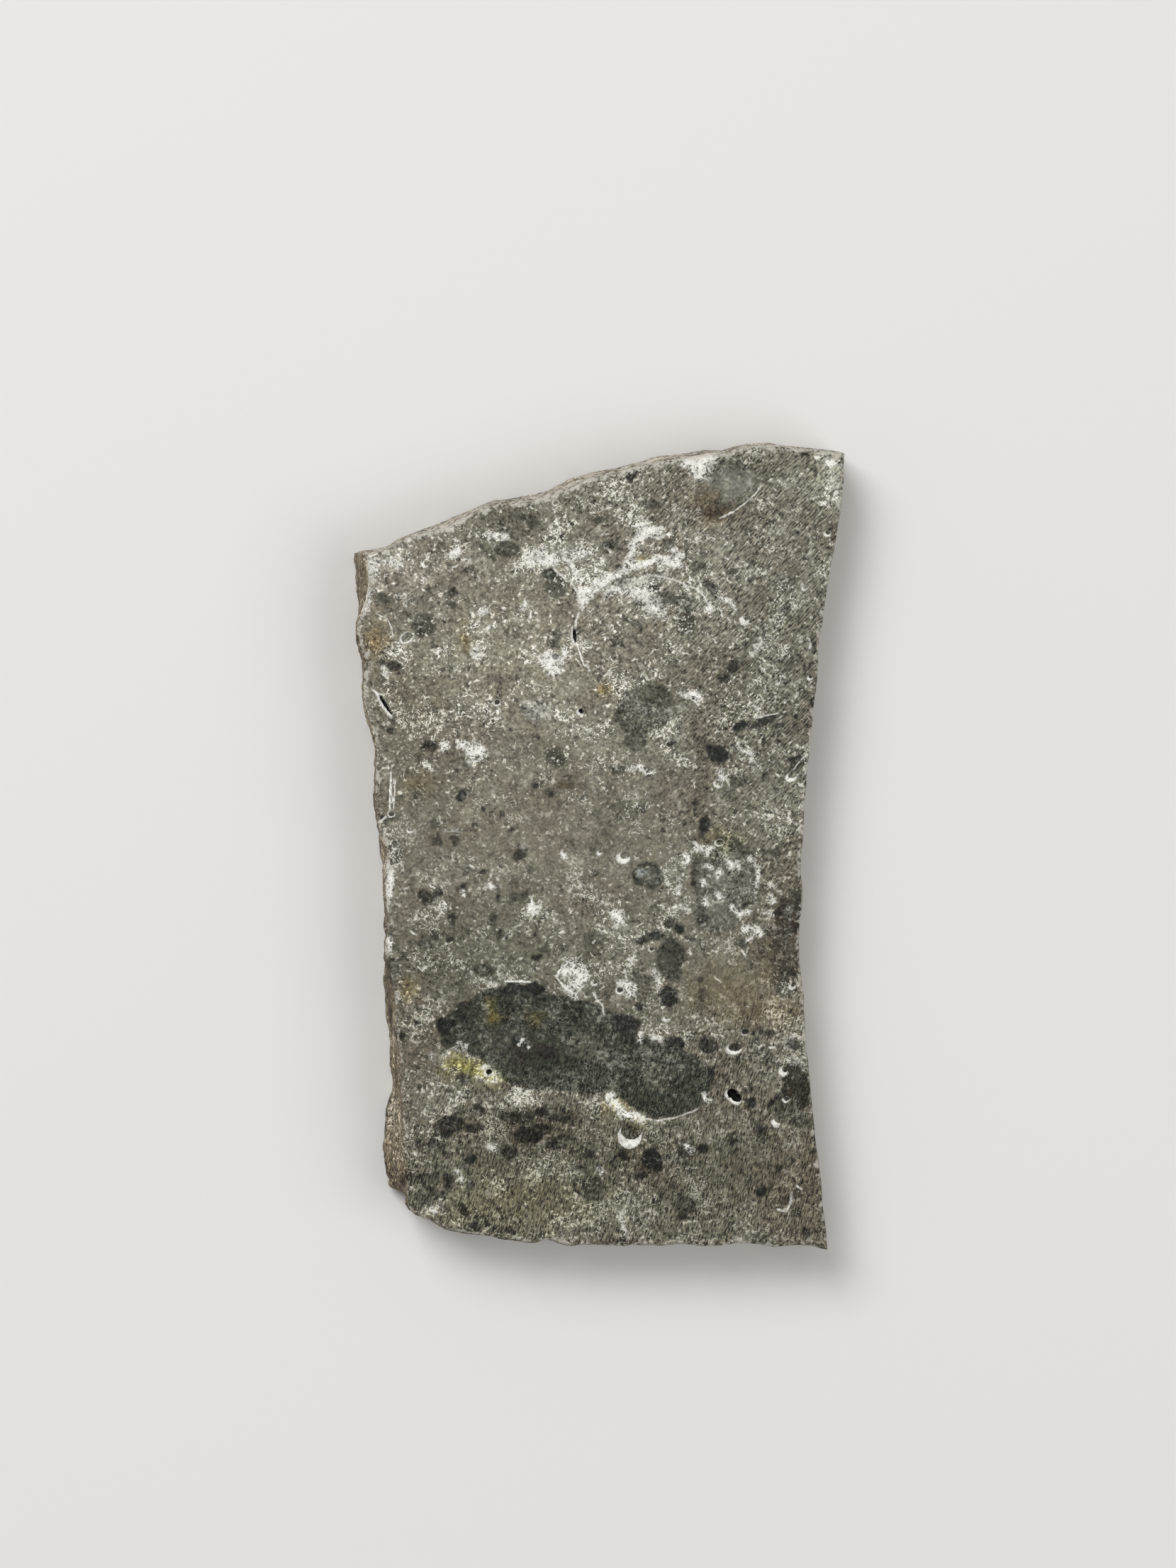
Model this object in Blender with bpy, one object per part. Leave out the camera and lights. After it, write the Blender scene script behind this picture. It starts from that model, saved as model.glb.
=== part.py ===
"""Thin sawn slice of a lunar breccia, one solid stone, lying flat on its sawn back.

Frame: metres, +Z up. The polished front face looks up, the long way runs along Y with the
wide, high end at +Y, and the origin is the middle of the footprint on the surface below.
"""

import bmesh
import bpy
import numpy as np
from mathutils import Vector, noise

MM = 0.001

# Driving dimensions of the slice
THICKNESS = 2.2 * MM
RIM_DEPTH = 0.10 * MM       # how far down the chipped rim of each sawn face reaches
RIM_MEAN = 0.05 * MM        # how far in the chipped rim stands, on average
GRAIN = 1.4 * MM            # size of the lumps that roughen the broken side walls
LAYERING = 3.0              # the lumps are this much flatter than they are wide

# Outline of the front face in millimetres from the middle of the slice, as four edges that meet
# at the corners. Each is read clockwise, starting at the upper left corner.
TOP_EDGE = (
    (-7.50, 9.40), (-6.90, 9.60), (-6.05, 10.05), (-5.00, 10.35), (-4.60, 10.55), (-3.40, 11.00),
    (-2.35, 11.10), (-1.10, 11.50), (-0.65, 11.75), (1.20, 12.20), (3.40, 12.60), (4.00, 12.60),
    (4.55, 12.80), (5.65, 12.90), (7.80, 12.65),
)
RIGHT_EDGE = (
    (7.80, 12.65), (7.80, 11.70), (7.50, 9.70), (7.10, 7.20), (6.75, 3.60), (6.50, 0.90),
    (6.40, -0.65), (6.45, -1.45), (6.35, -3.10), (6.50, -5.10), (6.65, -6.70), (6.75, -7.85),
    (7.05, -10.30), (7.30, -12.85),
)
BOTTOM_EDGE = (
    (7.30, -12.85), (6.60, -12.75), (5.55, -12.75), (4.65, -12.60), (3.40, -12.70), (2.05, -12.60),
    (-0.70, -12.60), (-1.45, -12.50), (-1.80, -12.40), (-2.40, -12.45), (-4.75, -12.05),
    (-5.45, -11.70), (-6.10, -11.45), (-6.30, -11.20),
)
LEFT_EDGE = (
    (-6.30, -11.20), (-6.25, -10.10), (-6.40, -8.95), (-6.45, -7.60), (-6.60, -4.90), (-6.90, -3.10),
    (-6.90, -1.95), (-6.95, -0.45), (-6.85, 0.00), (-7.15, 0.85), (-7.20, 1.85), (-7.25, 3.20),
    (-7.60, 5.10), (-7.55, 5.90), (-7.80, 7.15), (-7.65, 7.70), (-7.45, 8.35), (-7.50, 9.40),
)

# The back face is the same outline but for its left edge, which is broken in steps at the lower
# corner and slopes in half way up, and its top and bottom edges, which lie a little higher.
LEFT_EDGE_BACK = (
    (-6.10, -11.20), (-6.25, -11.05), (-6.60, -10.85), (-6.60, -10.60), (-6.75, -10.45),
    (-6.75, -8.95), (-6.70, -8.05), (-6.55, -7.70), (-6.55, -5.95), (-6.70, -5.35), (-6.75, -3.10),
    (-6.80, -0.90), (-7.00, 0.85), (-7.10, 3.20), (-7.35, 4.50), (-7.60, 7.20), (-7.55, 7.90),
    (-7.65, 8.60), (-7.70, 9.40),
)
BACK_RISE = 0.12

# Each edge: the points along it, and the height in millimetres of the lumps on its wall
TOP_STEPS, TOP_LUMPS = 64, 0.05
RIGHT_STEPS, RIGHT_LUMPS = 84, 0.015
BOTTOM_STEPS, BOTTOM_LUMPS = 60, 0.04
LEFT_STEPS, LEFT_LUMPS = 92, 0.06

# Loops of the side wall from the front face down: the share of the thickness, and the share of
# the way from the front outline to the back one. The two jumps are ledges along old fractures.
WALL_LOOPS = ((0.30, 0.15), (0.37, 0.50), (0.64, 0.60), (0.71, 0.95))

# Open bubbles, slits and hollows in the front face. Each: its middle in millimetres, its length,
# width and depth, and the turn of its length from +X in degrees.
PITS = {
    "left_slit": (-6.90, 4.70, 0.72, 0.10, 0.35, -58),
    "upper_slit": (-0.86, 6.84, 0.40, 0.12, 0.30, 90),
    "left_bubble": (-6.24, 6.78, 0.32, 0.28, 0.14, 20),
    "pin_hole": (-0.68, 4.46, 0.15, 0.15, 0.20, 0),
    "green_hole": (-3.65, -6.96, 0.18, 0.18, 0.15, 0),
    "crescent_hollow": (0.86, -9.09, 0.72, 0.60, 0.22, 0),
    "twin_hole": (4.24, -7.81, 0.42, 0.28, 0.25, 45),
    "lower_bubble": (4.17, -6.35, 0.26, 0.26, 0.12, 0),
    "corner_bubble": (7.17, 10.03, 0.26, 0.22, 0.12, 60),
    "top_bubble": (-1.50, 11.04, 0.18, 0.18, 0.10, 0),
    "brown_hollow": (3.49, 10.64, 0.55, 0.42, 0.10, 70),
    "middle_bubble": (0.66, -0.26, 0.34, 0.30, 0.12, 0),
}
PIT_FACES = 3               # subdivisions of the ball that cuts a pit

STONE_GREY = (0.156, 0.146, 0.126, 1.0)
STONE_ROUGHNESS = 0.55


def clear_scene():
    for thing in list(bpy.data.objects):
        bpy.data.objects.remove(thing, do_unlink=True)


def new_collection(name):
    collection = bpy.data.collections.new(name)
    bpy.context.scene.collection.children.link(collection)
    return collection


def smooth_edge(points, steps):
    """Catmull-Rom curve through the points, cut into equal steps, without its last point."""
    points = np.array(points)
    before = 2 * points[0] - points[1]
    after = 2 * points[-1] - points[-2]
    p = np.vstack([before, points, after])
    p0, p1, p2, p3 = p[:-3, None], p[1:-2, None], p[2:-1, None], p[3:, None]
    t = np.linspace(0, 1, 12, endpoint=False)[None, :, None]
    curve = 0.5 * (2 * p1 + (p2 - p0) * t + (2 * p0 - 5 * p1 + 4 * p2 - p3) * t**2
                   + (3 * p1 - p0 - 3 * p2 + p3) * t**3)
    curve = np.vstack([curve.reshape(-1, 2), points[-1]])
    run = np.concatenate([[0], np.cumsum(np.linalg.norm(np.diff(curve, axis=0), axis=1))])
    marks = np.linspace(0, run[-1], steps, endpoint=False)
    return np.column_stack([np.interp(marks, run, curve[:, axis]) for axis in (0, 1)])


def front_outline():
    return MM * np.vstack([
        smooth_edge(TOP_EDGE, TOP_STEPS),
        smooth_edge(RIGHT_EDGE, RIGHT_STEPS),
        smooth_edge(BOTTOM_EDGE, BOTTOM_STEPS),
        smooth_edge(LEFT_EDGE, LEFT_STEPS),
    ])


def back_outline():
    """The front outline with the back's own left edge, moved up at its top and bottom."""
    top = smooth_edge(((-7.70, 9.40),) + TOP_EDGE[1:], TOP_STEPS)
    right = smooth_edge(RIGHT_EDGE, RIGHT_STEPS)
    bottom = smooth_edge(BOTTOM_EDGE[:-1] + LEFT_EDGE_BACK[:1], BOTTOM_STEPS)
    left = smooth_edge(LEFT_EDGE_BACK, LEFT_STEPS)
    for edge in (top, bottom):
        along = np.linspace(0, np.pi, len(edge))
        edge[:, 1] += BACK_RISE * np.sin(along)
    return MM * np.vstack([top, right, bottom, left])


def outward(outline):
    """Unit vectors that point out of a clockwise outline, one at each point."""
    along = np.roll(outline, -1, axis=0) - np.roll(outline, 1, axis=0)
    along /= np.linalg.norm(along, axis=1, keepdims=True)
    return np.column_stack([-along[:, 1], along[:, 0]])


def lump_heights():
    """The height of the wall's lumps at each point, blended where two edges meet."""
    heights = np.repeat(
        [TOP_LUMPS, RIGHT_LUMPS, BOTTOM_LUMPS, LEFT_LUMPS],
        [TOP_STEPS, RIGHT_STEPS, BOTTOM_STEPS, LEFT_STEPS],
    )
    blend = np.ones(7) / 7
    wrapped = np.concatenate([heights[-3:], heights, heights[:3]])
    return MM * np.convolve(wrapped, blend, mode="valid")


def lumps(outline, z):
    """Fractal noise from about -1 to 1 along an outline at one height, flattened in layers."""
    return np.array([
        noise.fractal(Vector((x, y, z * LAYERING)) / GRAIN, 0.8, 2.0, 3) for x, y in outline
    ])


def wall_loops():
    """Every loop of the slice from the front face to the back, as arrays of 3-D points."""
    front, back = front_outline(), back_outline()
    heights = lump_heights()
    chips = RIM_MEAN * (1 + lumps(front, 5 * GRAIN))
    rim = RIM_DEPTH / THICKNESS
    levels = [(0, 0, chips), (rim, 0, 0 * chips)]
    levels += [(down, share, 0 * chips) for down, share in WALL_LOOPS]
    levels += [(1 - rim, 1, 0 * chips), (1, 1, chips)]
    loops = []
    for down, share, inset in levels:
        z = THICKNESS * (1 - down)
        outline = front + (back - front) * share
        push = heights * lumps(outline, z) - inset
        outline = outline + outward(outline) * push[:, None]
        loops.append(np.column_stack([outline, np.full(len(outline), z)]))
    return loops


def stone_material():
    material = bpy.data.materials.new("stone")
    material.use_nodes = True
    shader = material.node_tree.nodes["Principled BSDF"]
    shader.inputs["Base Color"].default_value = STONE_GREY
    shader.inputs["Roughness"].default_value = STONE_ROUGHNESS
    shader.inputs["Metallic"].default_value = 0.0
    return material


def make_slice(collection):
    """Loft the loops into one closed body, centred on the origin over its own footprint."""
    loops = wall_loops()
    points = np.vstack(loops)
    middle = (points.min(axis=0) + points.max(axis=0)) / 2
    shift = np.array([-middle[0], -middle[1], 0])

    body = bmesh.new()
    rings = [[body.verts.new(point) for point in loop + shift] for loop in loops]
    for upper, lower in zip(rings, rings[1:]):
        for i, vertex in enumerate(upper):
            body.faces.new((lower[i - 1], upper[i - 1], vertex, lower[i]))
    body.faces.new(reversed(rings[0]))
    body.faces.new(rings[-1])
    bmesh.ops.recalc_face_normals(body, faces=body.faces)

    mesh = bpy.data.meshes.new("meteorite_slice")
    body.to_mesh(mesh)
    body.free()
    mesh.materials.append(stone_material())
    slice_object = bpy.data.objects.new("meteorite_slice", mesh)
    collection.objects.link(slice_object)
    return slice_object, shift


def make_pit_cutter(collection, name, shift, x, y, length, width, depth, turn):
    """An ellipsoid with its middle on the front face, which it cuts to the pit's depth."""
    bpy.ops.mesh.primitive_ico_sphere_add(subdivisions=PIT_FACES, radius=1.0)
    cutter = bpy.context.active_object
    cutter.name = name
    cutter.scale = (length * MM / 2, width * MM / 2, depth * MM)
    cutter.rotation_euler.z = np.radians(turn)
    cutter.location = (x * MM + shift[0], y * MM + shift[1], THICKNESS)
    cutter.hide_render = True
    cutter.display_type = "WIRE"
    for owner in list(cutter.users_collection):
        owner.objects.unlink(cutter)
    collection.objects.link(cutter)
    return cutter


def main():
    clear_scene()
    stone = new_collection("lunar_meteorite_slice")
    cutters = new_collection("pit_cutters")
    slice_object, shift = make_slice(stone)
    for name, pit in PITS.items():
        make_pit_cutter(cutters, name, shift, *pit)

    cut = slice_object.modifiers.new("pits", "BOOLEAN")
    cut.operation = "DIFFERENCE"
    cut.solver = "EXACT"
    cut.operand_type = "COLLECTION"
    cut.collection = cutters


main()
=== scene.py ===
"""Lunar meteorite slice: the look of a thin sawn slice of dark grey lunar breccia, lying on its back.

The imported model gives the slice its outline, thickness and place. This script builds its finished
surface, its colours, the floor, the lights and the camera. Places on the sawn face are read off
the photo, in its own pixels, and turned into millimetres on the face by on_face().
"""

import math

import bpy
import numpy as np
from mathutils import Matrix, Vector


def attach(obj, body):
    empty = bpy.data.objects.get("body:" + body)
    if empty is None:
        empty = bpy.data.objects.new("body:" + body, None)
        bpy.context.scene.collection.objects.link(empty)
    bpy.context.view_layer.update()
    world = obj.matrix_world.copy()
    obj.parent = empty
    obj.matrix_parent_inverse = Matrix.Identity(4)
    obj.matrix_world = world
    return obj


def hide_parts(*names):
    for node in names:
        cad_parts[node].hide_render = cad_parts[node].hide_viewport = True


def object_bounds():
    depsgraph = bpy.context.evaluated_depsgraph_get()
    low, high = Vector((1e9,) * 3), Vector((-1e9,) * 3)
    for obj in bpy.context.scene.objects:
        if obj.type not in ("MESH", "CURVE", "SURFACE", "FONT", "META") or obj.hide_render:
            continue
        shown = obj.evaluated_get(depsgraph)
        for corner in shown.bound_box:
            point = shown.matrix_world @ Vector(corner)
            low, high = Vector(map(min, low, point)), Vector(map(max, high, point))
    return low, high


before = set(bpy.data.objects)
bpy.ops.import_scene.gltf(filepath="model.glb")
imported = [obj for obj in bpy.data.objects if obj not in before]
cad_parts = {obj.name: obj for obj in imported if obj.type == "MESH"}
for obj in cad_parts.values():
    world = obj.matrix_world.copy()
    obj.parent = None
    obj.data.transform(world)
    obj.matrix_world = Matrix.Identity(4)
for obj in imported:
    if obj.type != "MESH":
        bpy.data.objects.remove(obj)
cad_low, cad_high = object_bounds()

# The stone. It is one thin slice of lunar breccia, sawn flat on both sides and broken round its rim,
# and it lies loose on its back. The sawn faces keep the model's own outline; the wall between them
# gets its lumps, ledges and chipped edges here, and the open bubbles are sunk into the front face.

MM = 0.001
ACROSS, ALONG = 200, 332        # cells of the front face
WALL_ROWS = 12                  # rows of the broken wall between the two faces
FACE_WIDE, FACE_LONG = 14.2, 23.8   # the face's mean size across and along, in millimetres
WELD = 1e-7                     # metres within which the model's loose corners are one point
LEVEL = 1e-6                    # metres within which a corner lies at a face's height
FACE_TOP = cad_high[2]

PHOTO_CENTRE = (850.2, 1199.1)  # the photo's pixel over the middle of the slice
PIXELS_ACROSS = 44.1            # pixels to a millimetre, a little fewer across because of the tilt
PIXELS_ALONG = 44.5


def on_face(px, py):
    """Places on the front face in millimetres from its middle, from the photo's pixels."""
    x = (np.asarray(px, float) - PHOTO_CENTRE[0]) / PIXELS_ACROSS
    y = (PHOTO_CENTRE[1] - np.asarray(py, float)) / PIXELS_ALONG
    return x, y


def lattice_noise(points, size, octaves=4, seed=1):
    """Value noise: seeded numbers on a cubic lattice of this size, blended smoothly between the
    eight corners round each point, and summed over octaves of half the size and half the height."""
    lattice = np.random.default_rng(seed).random((32, 32, 32)) * 2 - 1
    total = np.zeros(len(points))
    for octave in range(octaves):
        place = points / size * 2**octave + 11.3 * octave
        cell = np.floor(place).astype(int)
        part = place - cell
        part = part * part * (3 - 2 * part)
        for corner in range(8):
            step = np.array([corner & 1, corner >> 1 & 1, corner >> 2 & 1])
            weight = np.prod(np.where(step, part, 1 - part), axis=1)
            i, j, k = ((cell + step) % 32).T
            total += lattice[i, j, k] * weight / 2**octave
    return total


def sawn_outline(z):
    """The outline of the model's flat face at height z, anticlockwise from above: the edges that
    only one of its triangles has, end to end, of the longest loop."""
    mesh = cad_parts["meteorite_slice"].data
    corners = np.empty(len(mesh.vertices) * 3)
    mesh.vertices.foreach_get("co", corners)
    points, weld = np.unique(np.round(corners.reshape(-1, 3) / WELD), axis=0, return_inverse=True)
    points = points * WELD
    faces = np.empty(len(mesh.loops), int)
    mesh.loops.foreach_get("vertex_index", faces)
    faces = weld.reshape(-1)[faces].reshape(-1, 3)
    flat = faces[(abs(points[faces][:, :, 2] - z) < LEVEL).all(axis=1)]
    edges = {(a, b) for face in flat.tolist() for a, b in zip(face, face[1:] + face[:1])}
    follows = {a: b for a, b in edges if (b, a) not in edges}
    loops = []
    while follows:
        start, after = follows.popitem()
        loop = [start]
        while after != start:
            loop.append(after)
            after = follows.pop(after)
        loops.append(loop)
    outline = points[max(loops, key=len)][:, :2]
    doubled_area = np.sum(outline[:, 0] * np.roll(outline[:, 1], -1)
                          - outline[:, 1] * np.roll(outline[:, 0], -1))
    return outline if doubled_area > 0 else outline[::-1]


def four_edges(outline, across, along):
    """The outline cut at its four corners into equal steps: bottom, right, top and left edges,
    the first and third from left to right, the others from the bottom up."""
    corners = [np.argmax(outline @ np.array(way)) for way in ((-1, -1), (1, -1), (1, 1), (-1, 1))]
    edges = []
    for side, (start, end) in enumerate(zip(corners, corners[1:] + corners[:1])):
        run = np.roll(outline, -start, axis=0)[:(end - start) % len(outline) + 1]
        length = np.concatenate([[0], np.cumsum(np.linalg.norm(np.diff(run, axis=0), axis=1))])
        marks = np.linspace(0, length[-1], (across if side % 2 == 0 else along) + 1)
        edge = np.column_stack([np.interp(marks, length, run[:, axis]) for axis in (0, 1)])
        soft = edge.copy()
        soft[1:-1] = (edge[:-2] + 2 * edge[1:-1] + edge[2:]) / 4
        edges.append(soft)
    bottom, right, top, left = edges
    return bottom, right, top[::-1], left[::-1]


def coons_grid(bottom, right, top, left):
    """Coons patch: each point is the blend of the two edges left and right of it, plus the blend
    of the two edges below and above it, less the blend of the four corners."""
    u = np.linspace(0, 1, len(bottom))[None, :, None]
    v = np.linspace(0, 1, len(left))[:, None, None]
    sides = (1 - u) * left[:, None] + u * right[:, None]
    ends = (1 - v) * bottom[None] + v * top[None]
    corners = ((1 - u) * (1 - v) * bottom[0] + u * (1 - v) * bottom[-1]
               + (1 - u) * v * top[0] + u * v * top[-1])
    return sides + ends - corners


def rim_of(grid_index):
    """The border of a grid of point numbers, anticlockwise from its lower left corner."""
    return np.concatenate([grid_index[0, :-1], grid_index[:-1, -1],
                           grid_index[-1, :0:-1], grid_index[:0:-1, 0]])


def quads(index):
    """The four corners of each cell of a grid of point numbers, anticlockwise."""
    return np.stack([index[:-1, :-1], index[:-1, 1:], index[1:, 1:], index[1:, :-1]],
                    axis=-1).reshape(-1, 4)


# Open bubbles and slits in the front face: middle in the photo's pixels, length and width in
# pixels, depth in millimetres, and the turn of the length from +X in degrees.
HOLES = {
    "left slit": (545.5, 992.5, 33, 4.2, 0.35, -58),
    "upper slit": (811, 896, 21, 4.6, 0.30, 96),
    "pin hole": (820, 1003, 8, 6, 0.20, -45),
    "green hole": (690, 1512, 9, 7, 0.15, 10),
    "twin hole, upper lobe": (1034, 1547, 15.5, 13, 0.25, -35),
    "twin hole, lower lobe": (1040, 1553, 14.5, 12, 0.22, -35),
}
BOWLS = {
    "left bubble": (576, 899, 15, 11, 0.12, 30),
    "crescent hollow": (888, 1605, 33, 30, 0.20, 0),
    "lower bubble": (1035, 1483, 17, 12, 0.12, 0),
    "corner bubble": (1167, 754, 11, 9, 0.10, 0),
    "top bubble": (784, 711, 8, 8, 0.08, 0),
    "brown hollow": (1004, 727, 26, 20, 0.08, 70),
    "middle bubble": (879, 1209, 14, 12, 0.10, 0),
    "right bubble": (1052, 1459, 11, 9, 0.10, 0),
}


def oval_place(x, y, px, py, length, width, turn):
    """Where each place lies in an oval: the way from its middle, turned into its own directions,
    in half lengths and half widths, so the oval's edge is where a * a + b * b is 1."""
    cx, cy = on_face(px, py)
    across, up = math.cos(math.radians(turn)), math.sin(math.radians(turn))
    a = ((x - cx) * across + (y - cy) * up) / (length / 2 / PIXELS_ALONG)
    b = ((y - cy) * across - (x - cx) * up) / (width / 2 / PIXELS_ALONG)
    return a, b


def pit_depth(x, y):
    """How far each place of the front face is sunk, in millimetres: in every pit the depth times
    one minus the squared distance from its middle, measured in its own half length and width."""
    depth = np.zeros_like(x)
    for px, py, length, width, deep, turn in [*HOLES.values(), *BOWLS.values()]:
        a, b = oval_place(x, y, px, py, length, width, turn)
        depth = np.maximum(depth, deep * (1 - a * a - b * b))
    return depth


front_edges = four_edges(sawn_outline(FACE_TOP), ACROSS, ALONG)
back_edges = four_edges(sawn_outline(0.0), ACROSS, ALONG)
back_edges_coarse = [edge[::2] for edge in back_edges]

front = coons_grid(*front_edges).reshape(-1, 2)
front_index = np.arange(len(front)).reshape(ALONG + 1, ACROSS + 1)
front_rim = rim_of(front_index)
rim_top = front[front_rim]
back = coons_grid(*back_edges_coarse).reshape(-1, 2)
back_fine = coons_grid(*back_edges)
rim_bottom = back_fine.reshape(-1, 2)[rim_of(front_index)]

# The wall's rows go down from the front rim. Each row has a share of the thickness and a share of
# the way from the front outline to the back one, with two ledges along old fractures.
row_down = np.linspace(0, 1, WALL_ROWS + 2)[1:-1]
row_share = np.interp(row_down, [0, 0.30, 0.37, 0.64, 0.71, 1], [0, 0.15, 0.50, 0.60, 0.95, 1])
RIM_ROUND = 0.05 * MM           # how far the wall stands out past the chipped rims
FLATTENED = 2.5                 # how many times as wide as high the wall's lumps are
BLEND = 9                       # rim steps over which one side's roughness gives way to the next
LEFT_ROUGH, OTHER_ROUGH, RIGHT_ROUGH = 0.085 * MM, 0.06 * MM, 0.02 * MM

around = np.roll(rim_top, -1, axis=0) - np.roll(rim_top, 1, axis=0)
around /= np.linalg.norm(around, axis=1, keepdims=True)
out_of_rim = np.column_stack([around[:, 1], -around[:, 0]])
side_number = np.repeat([0, 1, 2, 3], [ACROSS, ALONG, ACROSS, ALONG])
roughness_of_side = np.array([OTHER_ROUGH, RIGHT_ROUGH, OTHER_ROUGH, LEFT_ROUGH])[side_number]
roughness_of_side = np.convolve(np.tile(roughness_of_side, 3), np.ones(BLEND) / BLEND, "same")
roughness_of_side = roughness_of_side[len(side_number):2 * len(side_number)]

wall = []
for down, share in zip(row_down, row_share):
    ring = rim_top + (rim_bottom - rim_top) * share
    height = FACE_TOP * (1 - down)
    place = np.column_stack([ring, np.full(len(ring), height * FLATTENED)])
    bulge = RIM_ROUND * min(1, 6 * down, 6 * (1 - down))
    push = lattice_noise(place, 1.1 * MM, 5, seed=3)
    push += 0.5 * lattice_noise(place, 0.35 * MM, 3, seed=4)
    push = bulge + roughness_of_side * (push - 0.2)
    wall.append(np.column_stack([ring + out_of_rim * push[:, None], np.full(len(ring), height)]))
wall = np.concatenate(wall)

# The front face. Its height is the slice's thickness, less the depth of the pits, less the drop of
# the chipped rim, which dies out a noisy little way in from the edge, less a fine grain.
CHIP_DROP, CHIP_REACH, CHIP_WANDER = 0.10, 0.10, 0.16   # millimetres
GRAIN_HEIGHT = 0.006            # millimetres
front_x, front_y = front[:, 0] / MM, front[:, 1] / MM
u = np.tile(np.linspace(0, 1, ACROSS + 1), ALONG + 1)
v = np.repeat(np.linspace(0, 1, ALONG + 1), ACROSS + 1)
from_edge = np.minimum(np.minimum(u, 1 - u) * FACE_WIDE, np.minimum(v, 1 - v) * FACE_LONG)
flat_place = np.column_stack([front, np.zeros(len(front))])
chip = 0.5 + 0.5 * lattice_noise(flat_place, 0.9 * MM, 4, seed=5)
chip_share = np.clip(1 - from_edge / (CHIP_REACH + CHIP_WANDER * chip), 0, 1) ** 1.5
chip_drop = CHIP_DROP * chip_share * (0.3 + chip)
sunk = pit_depth(front_x, front_y)
grain = GRAIN_HEIGHT * lattice_noise(flat_place, 0.3 * MM, 3, seed=8)
front_z = FACE_TOP - MM * (sunk + chip_drop + np.where(from_edge > 0, grain, 0))
front_points = np.column_stack([front, np.minimum(front_z, FACE_TOP)])
back_points = np.column_stack([back, np.zeros(len(back))])

wall_start = len(front_points)
back_start = wall_start + len(wall)
loop_size = len(front_rim)
wall_index = wall_start + np.arange(len(wall)).reshape(WALL_ROWS, loop_size)
wall_index = np.vstack([front_rim, wall_index])
wall_index = np.column_stack([wall_index, wall_index[:, 0]])
back_index = back_start + np.arange(len(back)).reshape(ALONG // 2 + 1, ACROSS // 2 + 1)
back_rim = rim_of(back_index)
back_rim = np.append(back_rim, back_rim[0])

# The back's rim has half as many points as the wall's last row, so three triangles close each two
# steps of it
wall_faces = quads(wall_index)[:, ::-1]
last = wall_index[-1]
halving = np.concatenate([
    np.column_stack([last[0:-1:2], back_rim[:-1], last[1::2]]),
    np.column_stack([last[1::2], back_rim[:-1], back_rim[1:]]),
    np.column_stack([last[1::2], back_rim[1:], last[2::2]]),
])
square_faces = np.concatenate([quads(front_index), wall_faces, quads(back_index)[:, ::-1]])
points = np.concatenate([front_points, wall, back_points])

slice_mesh = bpy.data.meshes.new("meteorite_slice_surface")
slice_mesh.from_pydata(points, [], square_faces.tolist() + halving.tolist())
slice_mesh.shade_smooth()

# A flat map of the whole surface: the front face fills the left of the square, the back lies small
# in its lower right corner, and the wall is cut into six strips stacked above that.
MAP_SPAN = 26.4 * MM            # length of the face that the square's side holds
BACK_SCALE = 0.56
FRONT_MIDDLE, BACK_MIDDLE = (0.302, 0.5), (0.790, 0.290)
STRIP = 178                     # steps of the rim in one strip of the wall
STRIP_LEFT, STRIP_LONG = 0.606, 0.384
STRIP_LOW, STRIP_STEP, STRIP_HIGH = 0.598, 0.066, 0.058

step = np.arange(loop_size + 1) + np.zeros((WALL_ROWS + 1, 1), int)
row = np.arange(WALL_ROWS + 1)[:, None] + np.zeros_like(step)
pair = np.arange(0, loop_size, 2)
low_row, back_row = np.full(len(pair), WALL_ROWS), np.full(len(pair), WALL_ROWS + 1)
halving_step = [(pair, pair, pair + 1), (pair + 1, pair, pair + 2), (pair + 1, pair + 2, pair + 2)]
halving_row = [(low_row, back_row, low_row), (low_row, back_row, back_row),
               (low_row, back_row, low_row)]
position = np.arange(step.size).reshape(step.shape)
on_quads = quads(position)[:, ::-1]
strip_places = []
for steps, rows in ((step.ravel()[on_quads], row.ravel()[on_quads]),
                    (np.concatenate([np.column_stack(three) for three in halving_step]),
                     np.concatenate([np.column_stack(three) for three in halving_row]))):
    strip = steps.min(axis=1, keepdims=True) // STRIP
    across = STRIP_LEFT + STRIP_LONG * (steps - strip * STRIP) / STRIP
    up = STRIP_LOW + STRIP_STEP * strip + STRIP_HIGH * (1 - rows / (WALL_ROWS + 1))
    strip_places.append(np.stack([across, up], axis=-1).reshape(-1, 2))
front_places = (front / MAP_SPAN + FRONT_MIDDLE)[quads(front_index)].reshape(-1, 2)
back_places = back / MAP_SPAN * BACK_SCALE + BACK_MIDDLE
back_places = back_places[quads(back_index - back_start)[:, ::-1]]
flat_map = np.concatenate([front_places, strip_places[0], back_places.reshape(-1, 2), strip_places[1]])
slice_mesh.uv_layers.new(name="OFBake").data.foreach_set("uv", flat_map.ravel())

stone = bpy.data.objects.new("meteorite_slice_surface", slice_mesh)
bpy.context.scene.collection.objects.link(stone)

# What the sawn faces show. A breccia is fragments of older rock and glass welded into a fine
# matrix. Each named fragment, white streak and patch of tone is worked out here as a distance or a
# strength at every point of the surface, and the finish turns those into edges and colours.

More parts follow.
